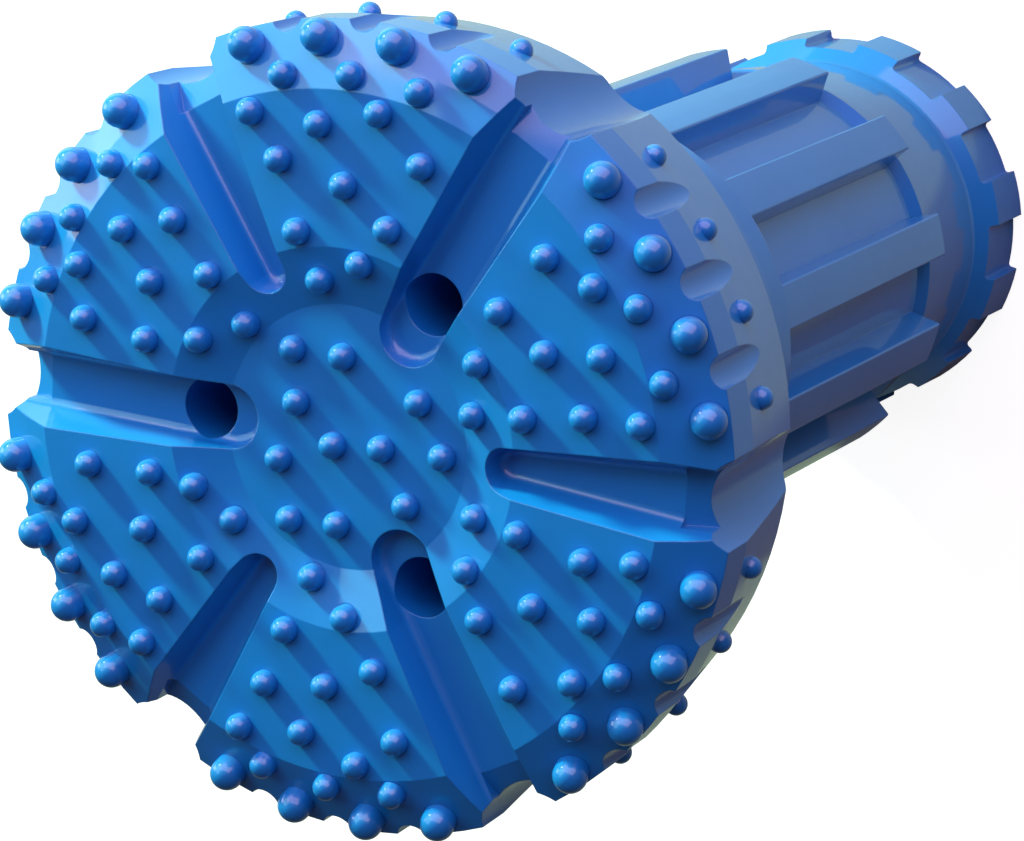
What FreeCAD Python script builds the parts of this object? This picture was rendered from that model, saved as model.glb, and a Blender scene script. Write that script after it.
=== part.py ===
"""Button bit for a 20 inch class down-the-hole hammer.

One steel forging (head, splined shank, neck and lugged guide ring) with domed carbide buttons
pressed into blind sockets. Millimetres. The Z axis is the drilling axis: the strike end stands on
z = 0 and the button face looks up. X runs through the middle of head sector 0.
"""
import FreeCAD, Part
import math
import os

V = FreeCAD.Vector
AXIS = V(0, 0, 1)
ORIGIN = V(0, 0, 0)

# ---------------------------------------------------------------- driving dimensions
LENGTH = 814.0              # strike face to button face
SECTORS = 6                 # head sectors, a slot between each two
SECTOR_PITCH = 360.0 / SECTORS
SLOT_PHASE = SECTOR_PITCH / 2

# head, as radii and depths below the button face
CENTRE_RADIUS, CENTRE_DROP = 81.5, 10.5     # flat floor of the dropped centre
FACE_INNER_RADIUS = 117.7                   # where the face starts to drop to the centre
FACE_RADIUS = 211.0
BAND_RADIUS, BAND_DEPTH = 228.5, 7.0        # second-row band
GAUGE_RADIUS, GAUGE_DEPTH = 250.0, 16.5     # gauge band ends here
LAND_DEPTH = 44.0                           # cylindrical land ends here
HEAD_REAR_RADIUS, HEAD_REAR_DEPTH = 238.5, 128.0
REAR_BEVEL = 2.0
BACK_RADIUS, BACK_DEPTH = 170.0, 196.0      # the back of the head runs in to the body here
BACK_FILLET = 35.0

# shank, as heights above the strike face
BODY_RADIUS = 152.0
SPLINES = 12
SPLINE_WIDTH = 30.8
CREST_FRONT_RADIUS, CREST_FRONT_Z = 153.0, 480.0
CREST_REAR_RADIUS, CREST_REAR_Z = 159.0, 198.0
FLOOR_FRONT_RADIUS, FLOOR_FRONT_Z = 131.0, 457.0
FLOOR_REAR_RADIUS = 135.5
CREST_EDGE = 1.5            # broken edge along each crest
RUN_OUT_SAG = 8.0           # the run-out arc's middle, from the corner it rounds
NECK_FRONT_RADIUS, NECK_FRONT_Z = 142.1, 187.0
NECK_REAR_RADIUS, NECK_REAR_Z = 133.3, 69.0
NECK_FILLET = 5.0

# guide ring behind the neck
RING_FRONT_RADIUS, RING_FRONT_Z = 148.7, 51.0
RING_REAR_RADIUS = 150.0
RING_BEVEL = 2.0
LUGS = 12
LUG_HALF_ANGLE = 6.66
NOTCH_FLOOR_RADIUS = 142.6
NOTCH_FILLET = 2.6

# air passages
BORE_RADIUS, BORE_DEPTH = 44.0, 560.0
BORE_BEVEL = 6.0
FLUSH_RADIUS, FLUSH_PITCH_RADIUS, FLUSH_DEPTH = 18.9, 100.8, 130.0
DUCT_RADIUS = 17.0

# face slots, as half widths at the face and at the floor
SLOT_DEPTH = 21.5
SLOT_FILLET = 6.0
SLOT_REACH = 262.0          # past the junk slot's wall
HEADROOM = 5.0              # how far the cutters stand above the face
BAND_SLOPE = (GAUGE_DEPTH - BAND_DEPTH) / (GAUGE_RADIUS - BAND_RADIUS)
SLOT_MOUTH_RADIUS = 218.0   # from here out the slot floor falls like the gauge band
OPEN_SLOTS = (90, 210, 330)
BLIND_SLOTS = (30, 150, 270)
# (radius of the inner end's centre, half width there, half width at the rim)
OPEN_SLOT_TOP = (81.4, 21.0, 27.6)
OPEN_SLOT_FLOOR = (81.4, 19.5, 15.5)
BLIND_SLOT_TOP = (109.3, 14.7, 28.0)
BLIND_SLOT_FLOOR = (109.3, 9.0, 18.0)

# grooves in the head's wall
JUNK_RADIUS, JUNK_PITCH_RADIUS = 30.4, 261.6
SCALLOP_RADIUS, SCALLOP_FLOOR_RADIUS, SCALLOP_TILT = 10.8, 243.4, 1.3
SCALLOP_ANGLES = (-12.0, 0.0, 12.0)
SCALLOP_REACH = 110.0       # the groove's cutter each way from the gauge edge

# buttons: (radius, grip below the surface, dome centre above the surface)
FACE_BUTTON = (8.3, 14.0, 2.4)
SECOND_BUTTON = (8.3, 14.0, 2.9)
GAUGE_BUTTON = (10.7, 18.0, 5.3)
SIDE_BUTTON = (7.1, 12.0, 0.0)

# rows that repeat in every sector: angles from the sector's middle
GAUGE_ROW_RADIUS, GAUGE_ROW_ANGLES = 238.7, (-18.0, -6.0, 6.0, 18.0)
SIDE_ROW_DEPTH, SIDE_ROW_ANGLES = 68.5, (-18.0, -6.0, 6.0, 18.0)
SECOND_ROW_RADIUS, SECOND_ROW_ANGLES = 218.9, (-11.85, 0.0, 11.85)

# face buttons as (radius, angle from the sector's middle), so that every ring of rock is covered
FACE_EVEN = ((202.0, 18.7), (190.3, 5.7), (201.4, -6.0), (171.4, 15.2), (155.3, 0.2), (180.2, -16.1),
             (127.8, 14.1), (136.4, -12.5), (96.8, 10.6), (109.8, -5.6))
FACE_ODD = ((186.1, 14.8), (201.5, 6.0), (187.7, -5.3), (202.0, -17.7), (141.5, 12.6), (154.0, -0.8),
            (166.8, -15.5), (109.7, 4.4), (127.5, -14.2), (91.5, -11.3))
# centre buttons as (x, y)
CENTRE_BUTTONS = ((49.7, 37.5), (49.9, 3.3), (17.2, 33.8), (29.9, -48.8), (-5.4, 7.9), (-2.1, -25.1),
                  (-0.5, -66.2), (-19.9, 44.9), (-56.6, 36.3), (-54.5, 3.3), (-34.7, -43.2))


# ---------------------------------------------------------------- small helpers
def edge(start, end):
    return Part.LineSegment(start, end).toShape()


def turned(points):
    """A solid of revolution about Z from (radius, height) points, closed along the axis."""
    corners = [V(r, 0, z) for r, z in points]
    face = Part.Face(Part.makePolygon(corners + corners[:1]))
    return face.revolve(ORIGIN, AXIS, 360)


def spun(shape, angle):
    copy = shape.copy()
    copy.rotate(ORIGIN, AXIS, angle)
    return copy


def circular(shape, angles):
    return [spun(shape, angle) for angle in angles]


def rounded(shape, radius, wanted):
    """The shape with a fillet on every edge that the test accepts."""
    return shape.makeFillet(radius, [e for e in shape.Edges if wanted(e)])


def edge_circle_at(radius, height):
    """A test for the circular edge of this radius at this height."""
    def test(e):
        box = e.BoundBox
        return abs(box.ZMin - height) < 0.1 and abs(box.ZMax - height) < 0.1 and abs(box.XMax - radius) < 0.1
    return test


# ---------------------------------------------------------------- forging
def head():
    """Head and round body as one turned form, solid inside."""
    body_start = LENGTH - BACK_DEPTH
    blank = turned([
        (0, CREST_FRONT_Z), (CREST_FRONT_RADIUS, CREST_FRONT_Z),
        (BODY_RADIUS, CREST_FRONT_Z + 20), (BODY_RADIUS, body_start),
        (HEAD_REAR_RADIUS - REAR_BEVEL, LENGTH - HEAD_REAR_DEPTH - REAR_BEVEL / 2),
        (HEAD_REAR_RADIUS, LENGTH - HEAD_REAR_DEPTH + REAR_BEVEL),
        (GAUGE_RADIUS, LENGTH - LAND_DEPTH), (GAUGE_RADIUS, LENGTH - GAUGE_DEPTH),
        (BAND_RADIUS, LENGTH - BAND_DEPTH), (FACE_RADIUS, LENGTH),
        (FACE_INNER_RADIUS, LENGTH), (CENTRE_RADIUS, LENGTH - CENTRE_DROP), (0, LENGTH - CENTRE_DROP),
    ])
    return rounded(blank, BACK_FILLET, edge_circle_at(BODY_RADIUS, body_start))


def shank_core():
    """The groove floors, their run-out at the front, the neck and the plain guide ring."""
    outline = Part.makePolygon([
        V(FLOOR_FRONT_RADIUS, 0, FLOOR_FRONT_Z), V(FLOOR_REAR_RADIUS, 0, CREST_REAR_Z - 2),
        V(NECK_FRONT_RADIUS, 0, NECK_FRONT_Z), V(NECK_REAR_RADIUS, 0, NECK_REAR_Z),
        V(RING_FRONT_RADIUS, 0, RING_FRONT_Z), V(RING_REAR_RADIUS, 0, RING_BEVEL),
        V(RING_REAR_RADIUS - RING_BEVEL, 0, 0), V(0, 0, 0), V(0, 0, CREST_FRONT_Z),
        V(CREST_FRONT_RADIUS, 0, CREST_FRONT_Z),
    ])
    run_out = Part.Arc(V(CREST_FRONT_RADIUS, 0, CREST_FRONT_Z),
                       V(FLOOR_FRONT_RADIUS + RUN_OUT_SAG, 0, CREST_FRONT_Z - RUN_OUT_SAG),
                       V(FLOOR_FRONT_RADIUS, 0, FLOOR_FRONT_Z)).toShape()
    core = Part.Face(Part.Wire(outline.Edges + [run_out])).revolve(ORIGIN, AXIS, 360)
    return rounded(core, NECK_FILLET, edge_circle_at(NECK_REAR_RADIUS, NECK_REAR_Z))


def splines():
    """Twelve parallel-sided crests under one slightly flared crest cone."""
    length = CREST_FRONT_Z - CREST_REAR_Z
    crest_cone = Part.makeCone(CREST_REAR_RADIUS, CREST_FRONT_RADIUS, length, V(0, 0, CREST_REAR_Z), AXIS)
    bar = Part.makeBox(CREST_REAR_RADIUS + 5, SPLINE_WIDTH, length, V(0, -SPLINE_WIDTH / 2, CREST_REAR_Z))
    crest = bar.common(crest_cone)
    crest = rounded(crest, CREST_EDGE, is_crest_edge)
    pitch = 360.0 / SPLINES
    return circular(crest, [pitch * (i + 0.5) for i in range(SPLINES)])


def is_crest_edge(e):
    """The outer edges of a crest: both flanks' tops and the top of its rear end."""
    box = e.BoundBox
    along = box.ZLength > 100 and box.XMin > CREST_FRONT_RADIUS - 5
    across = box.ZMax < CREST_REAR_Z + 0.1 and box.XMin > CREST_REAR_RADIUS - 5
    return along or across


def notches():
    """Cutters between the guide ring's lugs, with rounded inner corners."""
    half_angle = 180.0 / LUGS - LUG_HALF_ANGLE
    height = NECK_REAR_Z + 20
    sector = Part.makeCylinder(RING_REAR_RADIUS + 10, height, V(0, 0, -10), AXIS, 2 * half_angle)
    cutter = sector.cut(Part.makeCylinder(NOTCH_FLOOR_RADIUS, height, V(0, 0, -10)))
    cutter = rounded(cutter, NOTCH_FILLET, is_notch_corner)
    return circular(cutter, [360.0 / LUGS * i - half_angle for i in range(LUGS)])


def is_notch_corner(e):
    first, last = e.Vertexes[0].Point, e.Vertexes[-1].Point
    upright = abs(first.x - last.x) < 0.01 and abs(first.y - last.y) < 0.01
    return upright and math.hypot(first.x, first.y) < NOTCH_FLOOR_RADIUS + 0.1


def air_passages():
    """Central bore from the strike end, three face holes and the ducts that join them."""
    bore = Part.makeCylinder(BORE_RADIUS, BORE_DEPTH)
    mouth = Part.makeCone(BORE_RADIUS + BORE_BEVEL, BORE_RADIUS, BORE_BEVEL)
    cutters = [bore, mouth]
    bottom = LENGTH - FLUSH_DEPTH
    rise = bottom - BORE_DEPTH + DUCT_RADIUS
    duct_path = V(FLUSH_PITCH_RADIUS, 0, rise)
    for angle in OPEN_SLOTS:
        hole = Part.makeCylinder(FLUSH_RADIUS, FLUSH_DEPTH, V(FLUSH_PITCH_RADIUS, 0, bottom))
        duct = Part.makeCylinder(DUCT_RADIUS, duct_path.Length, V(0, 0, BORE_DEPTH - DUCT_RADIUS), duct_path)
        cutters += circular(hole, [angle]) + circular(duct, [angle])
    return cutters


def slot_outline(centre, inner_half, rim_half, height):
    """A slot's plan: two straight sides and a round inner end, symmetric about X."""
    run = SLOT_REACH - centre
    lean = math.atan2(rim_half - inner_half, run)
    touch_x = centre - inner_half * math.sin(lean)
    touch_y = inner_half * math.cos(lean)
    tip = V(centre - inner_half, 0, height)
    left, right = V(touch_x, touch_y, height), V(touch_x, -touch_y, height)
    rim_left, rim_right = V(SLOT_REACH, rim_half, height), V(SLOT_REACH, -rim_half, height)
    return Part.Wire([Part.Arc(left, tip, right).toShape(), edge(right, rim_right),
                      edge(rim_right, rim_left), edge(rim_left, left)])


def slot(top, floor):
    """A drafted slot cutter along +X with a rounded floor, falling away outside the slot's mouth."""
    floor_z = LENGTH - SLOT_DEPTH
    draft = [(low - high) / SLOT_DEPTH for low, high in zip(floor, top)]
    above = [high - lean * HEADROOM for high, lean in zip(top, draft)]
    cutter = Part.makeLoft([slot_outline(*floor, floor_z), slot_outline(*above, LENGTH + HEADROOM)], True, True)
    cutter = rounded(cutter, SLOT_FILLET, lambda e: e.BoundBox.ZMax < floor_z + 0.1
                     and e.BoundBox.XMin < SLOT_REACH - 1)
    fall = (SLOT_REACH - SLOT_MOUTH_RADIUS) * BAND_SLOPE
    ramp = Part.Face(Part.makePolygon([
        V(SLOT_MOUTH_RADIUS, -floor[2], floor_z), V(SLOT_REACH, -floor[2], floor_z - fall),
        V(SLOT_REACH, -floor[2], floor_z + SLOT_DEPTH), V(SLOT_MOUTH_RADIUS, -floor[2], floor_z + SLOT_DEPTH),
        V(SLOT_MOUTH_RADIUS, -floor[2], floor_z)]))
    return cutter.fuse(ramp.extrude(V(0, 2 * floor[2], 0)))


def junk_slots():
    groove = Part.makeCylinder(JUNK_RADIUS, LENGTH, V(JUNK_PITCH_RADIUS, 0, CREST_FRONT_Z), AXIS)
    return circular(groove, [SLOT_PHASE + SECTOR_PITCH * i for i in range(SECTORS)])


def scallops():
    """Shallow wall grooves between the gauge buttons, running out down the relieved wall."""
    groove = Part.makeCylinder(SCALLOP_RADIUS, 2 * SCALLOP_REACH, V(0, 0, -SCALLOP_REACH), AXIS)
    groove.rotate(ORIGIN, V(0, 1, 0), -SCALLOP_TILT)
    groove.translate(V(SCALLOP_FLOOR_RADIUS + SCALLOP_RADIUS, 0, LENGTH - GAUGE_DEPTH))
    return circular(groove, [SECTOR_PITCH * i + a for i in range(SECTORS) for a in SCALLOP_ANGLES])


def bit_body(sockets):
    blank = head().fuse([shank_core()] + splines())
    cutters = [spun(slot(OPEN_SLOT_TOP, OPEN_SLOT_FLOOR), a) for a in OPEN_SLOTS]
    cutters += [spun(slot(BLIND_SLOT_TOP, BLIND_SLOT_FLOOR), a) for a in BLIND_SLOTS]
    cutters += junk_slots() + scallops() + notches() + air_passages() + sockets
    return blank.cut(cutters).removeSplitter()


# ---------------------------------------------------------------- buttons
def button(kind):
    """A carbide button standing up through z = 0: a plain grip with a hemispherical dome."""
    radius, grip, stand = kind
    half = radius * math.sqrt(0.5)
    dome = Part.Arc(V(radius, 0, stand), V(half, 0, stand + half), V(0, 0, stand + radius)).toShape()
    profile = Part.Wire([dome, edge(V(0, 0, stand + radius), V(0, 0, -grip)),
                         edge(V(0, 0, -grip), V(radius, 0, -grip)),
                         edge(V(radius, 0, -grip), V(radius, 0, stand))])
    return Part.Face(profile).revolve(ORIGIN, AXIS, 360)


def socket(kind):
    """The blind hole of a button, run on upwards so that it also clears a sloping mouth."""
    radius, grip, stand = kind
    return Part.makeCylinder(radius, grip + stand + radius, V(0, 0, -grip))


def placed(shape, radius, angle, height, tilt=0.0):
    """The shape moved to this radius and height, leaning out by the tilt, then turned to the angle."""
    copy = shape.copy()
    copy.rotate(ORIGIN, V(0, 1, 0), tilt)
    copy.translate(V(radius, 0, height))
    copy.rotate(ORIGIN, AXIS, angle)
    return copy


def band_seat(radius, inner, outer, inner_depth, outer_depth):
    """Height and outward tilt of a point on a conical band between two circles."""
    slope = (outer_depth - inner_depth) / (outer - inner)
    return LENGTH - inner_depth - (radius - inner) * slope, math.degrees(math.atan(slope))


def face_height(radius):
    """Height of the flat face, the slope inside it, or the floor of the dropped centre."""
    share = (FACE_INNER_RADIUS - radius) / (FACE_INNER_RADIUS - CENTRE_RADIUS)
    return LENGTH - CENTRE_DROP * min(max(share, 0.0), 1.0)


def seats():
    """Every button group as name: (kind, list of (radius, angle, height, tilt))."""
    second_z, second_tilt = band_seat(SECOND_ROW_RADIUS, FACE_RADIUS, BAND_RADIUS, 0, BAND_DEPTH)
    gauge_z, gauge_tilt = band_seat(GAUGE_ROW_RADIUS, BAND_RADIUS, GAUGE_RADIUS, BAND_DEPTH, GAUGE_DEPTH)
    relief = (GAUGE_RADIUS - HEAD_REAR_RADIUS) / (HEAD_REAR_DEPTH - LAND_DEPTH)
    side_radius = GAUGE_RADIUS - (SIDE_ROW_DEPTH - LAND_DEPTH) * relief
    groups = {}
    for sector in range(SECTORS):
        middle = sector * SECTOR_PITCH
        number = sector + 1
        groups[f"gauge_buttons_{number}"] = GAUGE_BUTTON, [
            (GAUGE_ROW_RADIUS, middle + a, gauge_z, gauge_tilt) for a in GAUGE_ROW_ANGLES]
        groups[f"second_row_buttons_{number}"] = SECOND_BUTTON, [
            (SECOND_ROW_RADIUS, middle + a, second_z, second_tilt) for a in SECOND_ROW_ANGLES]
        groups[f"side_buttons_{number}"] = SIDE_BUTTON, [
            (side_radius, middle + a, LENGTH - SIDE_ROW_DEPTH, 90.0) for a in SIDE_ROW_ANGLES]
        pattern = FACE_ODD if sector % 2 else FACE_EVEN
        groups[f"face_buttons_{number}"] = FACE_BUTTON, [
            (r, middle + a, face_height(r), 0.0) for r, a in pattern]
    groups["centre_buttons"] = FACE_BUTTON, [
        (math.hypot(x, y), math.degrees(math.atan2(y, x)), LENGTH - CENTRE_DROP, 0.0)
        for x, y in CENTRE_BUTTONS]
    return groups


# ---------------------------------------------------------------- build
def main():
    os.makedirs("parts", exist_ok=True)
    groups = seats()
    sockets = [placed(socket(kind), *seat) for kind, group in groups.values() for seat in group]
    bit_body(sockets).exportStep("parts/bit_body.step")
    for name, (kind, group) in groups.items():
        pieces = [placed(button(kind), *seat) for seat in group]
        Part.makeCompound(pieces).exportStep(f"parts/{name}.step")


main()
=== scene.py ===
import math

import bpy
from mathutils import Matrix, Vector

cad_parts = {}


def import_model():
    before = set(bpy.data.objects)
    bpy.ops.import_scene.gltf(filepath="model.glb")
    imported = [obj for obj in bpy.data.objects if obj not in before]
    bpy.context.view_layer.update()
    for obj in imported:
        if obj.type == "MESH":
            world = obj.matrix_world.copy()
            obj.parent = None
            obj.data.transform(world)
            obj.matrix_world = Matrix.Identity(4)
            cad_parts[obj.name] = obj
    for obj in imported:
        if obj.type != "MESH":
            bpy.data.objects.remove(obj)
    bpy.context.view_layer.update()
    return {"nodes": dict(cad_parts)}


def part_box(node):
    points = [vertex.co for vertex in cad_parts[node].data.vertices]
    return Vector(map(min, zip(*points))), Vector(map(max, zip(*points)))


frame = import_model()

# ---------------------------------------------------------------- driving values, metres
BODY_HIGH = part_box("bit_body")[1]
HEAD = Vector((0, 0, BODY_HIGH.z))          # middle of the button face, which the lamps aim at

CAMERA_PLACE = Vector((0.5493, -0.9464, 2.4907))
CAMERA_RIGHT = Vector((0.045213, -0.889448, -0.454794))
CAMERA_UP = Vector((0.962844, 0.160135, -0.217457))
CAMERA_LENS = 118.32                        # mm, on a 36 mm sensor

PAINT = (0.002, 0.190, 0.60, 1.0)
PAINT_DEEP = (0.002, 0.170, 0.56, 1.0)
ENAMEL_IOR = 1.5
ENAMEL_ROUGHNESS, ROUGHNESS_SPREAD = 0.45, 0.04
TONE_LOW, TONE_HIGH = 0.35, 0.70            # where the drift of tone starts and ends
PEEL_STRENGTH, PEEL_HEIGHT = 0.05, 0.0004
BEVEL_SAMPLES = 4

WHITE = (1, 1, 1, 1)
FLOOR_HALF = 12.0
FLOOR_PAPER = (0.3, 0.3, 0.3, 1)
FLOOR_GLOW = 0.9                            # added for the camera alone, so that the floor looks white
WORLD_FILL = 0.06

# lamps: name, azimuth and elevation in degrees, distance, width, height, radiance, colour
SOFTBOX = ("softbox", -8, 25, 2.5, 4.4, 3.2, 2.3, (1.0, 0.72, 1.0))
KEY = ("key", 50, 9, 3.0, 0.35, 0.35, 600.0, (0.7, 1.0, 0.55))
KEY_GLINT = ("key_glint", 46, 12, 2.9, 0.5, 0.5, 14.0)
STRIP = ("strip", 80, 8, 2.6, 0.8, 1.2, 4.0, (0.8, 0.85, 1.0))
SIDE_FILL = ("side_fill", 60, 40, 2.6, 2.0, 2.0, 2.1, (0.6, 1.0, 0.92))


# ---------------------------------------------------------------- node helpers
def new_tree(name):
    material = bpy.data.materials.new(name)
    material.use_nodes = True
    tree = material.node_tree
    tree.nodes.clear()
    return material, tree


def add(tree, kind, **settings):
    """A node with its settings; keys that name a socket set the socket's value."""
    node = tree.nodes.new(kind)
    for key, value in settings.items():
        label = key.replace("_", " ")
        if hasattr(node, key):
            setattr(node, key, value)
        else:
            node.inputs[label].default_value = value
    return node


def link(tree, source, target):
    tree.links.new(source, target)


def ramp(tree, source, low, high, colours):
    """A two-stop colour ramp driven by a value."""
    node = tree.nodes.new("ShaderNodeValToRGB")
    node.color_ramp.elements[0].position = low
    node.color_ramp.elements[1].position = high
    for element, colour in zip(node.color_ramp.elements, colours):
        element.color = colour
    link(tree, source, node.inputs["Fac"])
    return node


# ---------------------------------------------------------------- materials
def gloss_paint(name, edge_radius, coat_roughness):
    """Clear-coated blue enamel: fine orange peel, slight drift of tone, softened edges."""
    material, tree = new_tree(name)
    output = tree.nodes.new("ShaderNodeOutputMaterial")
    shader = add(tree, "ShaderNodeBsdfPrincipled")
    shader.inputs["IOR"].default_value = ENAMEL_IOR
    shader.inputs["Coat Weight"].default_value = 1.0
    shader.inputs["Coat Roughness"].default_value = coat_roughness
    link(tree, shader.outputs["BSDF"], output.inputs["Surface"])

    place = tree.nodes.new("ShaderNodeTexCoord").outputs["Object"]
    drift = add(tree, "ShaderNodeTexNoise", Scale=9.0, Detail=4.0, Roughness=0.55)
    link(tree, place, drift.inputs["Vector"])
    tone = ramp(tree, drift.outputs["Fac"], TONE_LOW, TONE_HIGH, (PAINT_DEEP, PAINT))
    link(tree, tone.outputs["Color"], shader.inputs["Base Color"])

    smear = add(tree, "ShaderNodeTexNoise", Scale=60.0, Detail=3.0, Roughness=0.6)
    link(tree, place, smear.inputs["Vector"])
    spread = tree.nodes.new("ShaderNodeMapRange")
    spread.inputs["To Min"].default_value = ENAMEL_ROUGHNESS - ROUGHNESS_SPREAD
    spread.inputs["To Max"].default_value = ENAMEL_ROUGHNESS + ROUGHNESS_SPREAD
    link(tree, smear.outputs["Fac"], spread.inputs["Value"])
    link(tree, spread.outputs["Result"], shader.inputs["Roughness"])

    peel = add(tree, "ShaderNodeTexNoise", Scale=420.0, Detail=2.0, Roughness=0.5)
    link(tree, place, peel.inputs["Vector"])
    edges = tree.nodes.new("ShaderNodeBevel")
    edges.samples = BEVEL_SAMPLES
    edges.inputs["Radius"].default_value = edge_radius
    bump = tree.nodes.new("ShaderNodeBump")
    bump.inputs["Strength"].default_value = PEEL_STRENGTH
    bump.inputs["Distance"].default_value = PEEL_HEIGHT
    link(tree, peel.outputs["Fac"], bump.inputs["Height"])
    link(tree, edges.outputs["Normal"], bump.inputs["Normal"])
    link(tree, bump.outputs["Normal"], shader.inputs["Normal"])
    link(tree, edges.outputs["Normal"], shader.inputs["Coat Normal"])
    return material


def dress_nodes():
    body_paint = gloss_paint("body_enamel", 0.0012, 0.05)
    button_paint = gloss_paint("button_enamel", 0.0003, 0.04)
    for name, node in frame["nodes"].items():
        finish = body_paint if name == "bit_body" else button_paint
        node.data.materials.clear()
        node.data.materials.append(finish)


# ---------------------------------------------------------------- stage
def floor():
    """A wide floor: white to the camera with the object's shadow kept, darker paper to everything else."""
    mesh = bpy.data.meshes.new("floor")
    corners = [(x * FLOOR_HALF, y * FLOOR_HALF, 0) for x, y in ((-1, -1), (1, -1), (1, 1), (-1, 1))]
    mesh.from_pydata(corners, [], [(0, 1, 2, 3)])
    ground = bpy.data.objects.new("floor", mesh)
    bpy.context.scene.collection.objects.link(ground)
    material, tree = new_tree("floor_paper")
    output = tree.nodes.new("ShaderNodeOutputMaterial")
    paper = add(tree, "ShaderNodeBsdfDiffuse", Color=FLOOR_PAPER)
    glow = add(tree, "ShaderNodeEmission", Color=WHITE, Strength=FLOOR_GLOW)
    seen = tree.nodes.new("ShaderNodeLightPath")
    both = tree.nodes.new("ShaderNodeAddShader")
    pick = tree.nodes.new("ShaderNodeMixShader")
    link(tree, paper.outputs[0], both.inputs[0])
    link(tree, glow.outputs[0], both.inputs[1])
    link(tree, seen.outputs["Is Camera Ray"], pick.inputs["Fac"])
    link(tree, paper.outputs[0], pick.inputs[1])
    link(tree, both.outputs[0], pick.inputs[2])
    link(tree, pick.outputs[0], output.inputs["Surface"])
    mesh.materials.append(material)


def world():
    """Dim even fill; the camera sees white."""
    scene_world = bpy.data.worlds.new("studio")
    bpy.context.scene.world = scene_world
    scene_world.use_nodes = True
    tree = scene_world.node_tree
    tree.nodes.clear()
    output = tree.nodes.new("ShaderNodeOutputWorld")
    fill = add(tree, "ShaderNodeBackground", Color=WHITE, Strength=WORLD_FILL)
    white = add(tree, "ShaderNodeBackground", Color=WHITE, Strength=1.0)
    seen = tree.nodes.new("ShaderNodeLightPath")
    pick = tree.nodes.new("ShaderNodeMixShader")
    link(tree, seen.outputs["Is Camera Ray"], pick.inputs["Fac"])
    link(tree, fill.outputs[0], pick.inputs[1])
    link(tree, white.outputs[0], pick.inputs[2])
    link(tree, pick.outputs[0], output.inputs["Surface"])


def area_light(name, azimuth, elevation, distance, width, height, radiance, colour=(1, 1, 1)):
    """A rectangular lamp aimed at the head; radiance is what a mirror would show."""
    lamp = bpy.data.lights.new(name, "AREA")
    lamp.shape = "RECTANGLE"
    lamp.size, lamp.size_y = width, height
    lamp.energy = radiance * math.pi * width * height
    lamp.color = colour
    flat = math.radians(azimuth)
    tilt = math.radians(elevation)
    way = Vector((math.cos(tilt) * math.cos(flat), math.cos(tilt) * math.sin(flat), math.sin(tilt)))
    holder = bpy.data.objects.new(name, lamp)
    holder.location = HEAD + way * distance
    holder.rotation_euler = way.to_track_quat("Z", "Y").to_euler()
    bpy.context.scene.collection.objects.link(holder)
    return holder


def lights():
    """Lamps placed from the glints in the photo; the key isn't mirrored, and its glint stands in for it."""
    area_light(*SOFTBOX)
    key = area_light(*KEY)
    key.visible_glossy = False
    for lamp in (KEY_GLINT, STRIP, SIDE_FILL):
        area_light(*lamp)


def camera():
    """The camera fitted to the photograph."""
    data = bpy.data.cameras.new("camera")
    data.sensor_width = 36.0
    data.lens = CAMERA_LENS
    data.clip_end = 50.0
    holder = bpy.data.objects.new("camera", data)
    back = CAMERA_RIGHT.cross(CAMERA_UP)
    turn = Matrix((CAMERA_RIGHT, CAMERA_UP, back)).transposed()
    holder.matrix_world = Matrix.Translation(CAMERA_PLACE) @ turn.to_4x4()
    bpy.context.scene.collection.objects.link(holder)
    bpy.context.scene.camera = holder


dress_nodes()
floor()
world()
lights()
camera()
bpy.context.scene.view_settings.view_transform = "Standard"
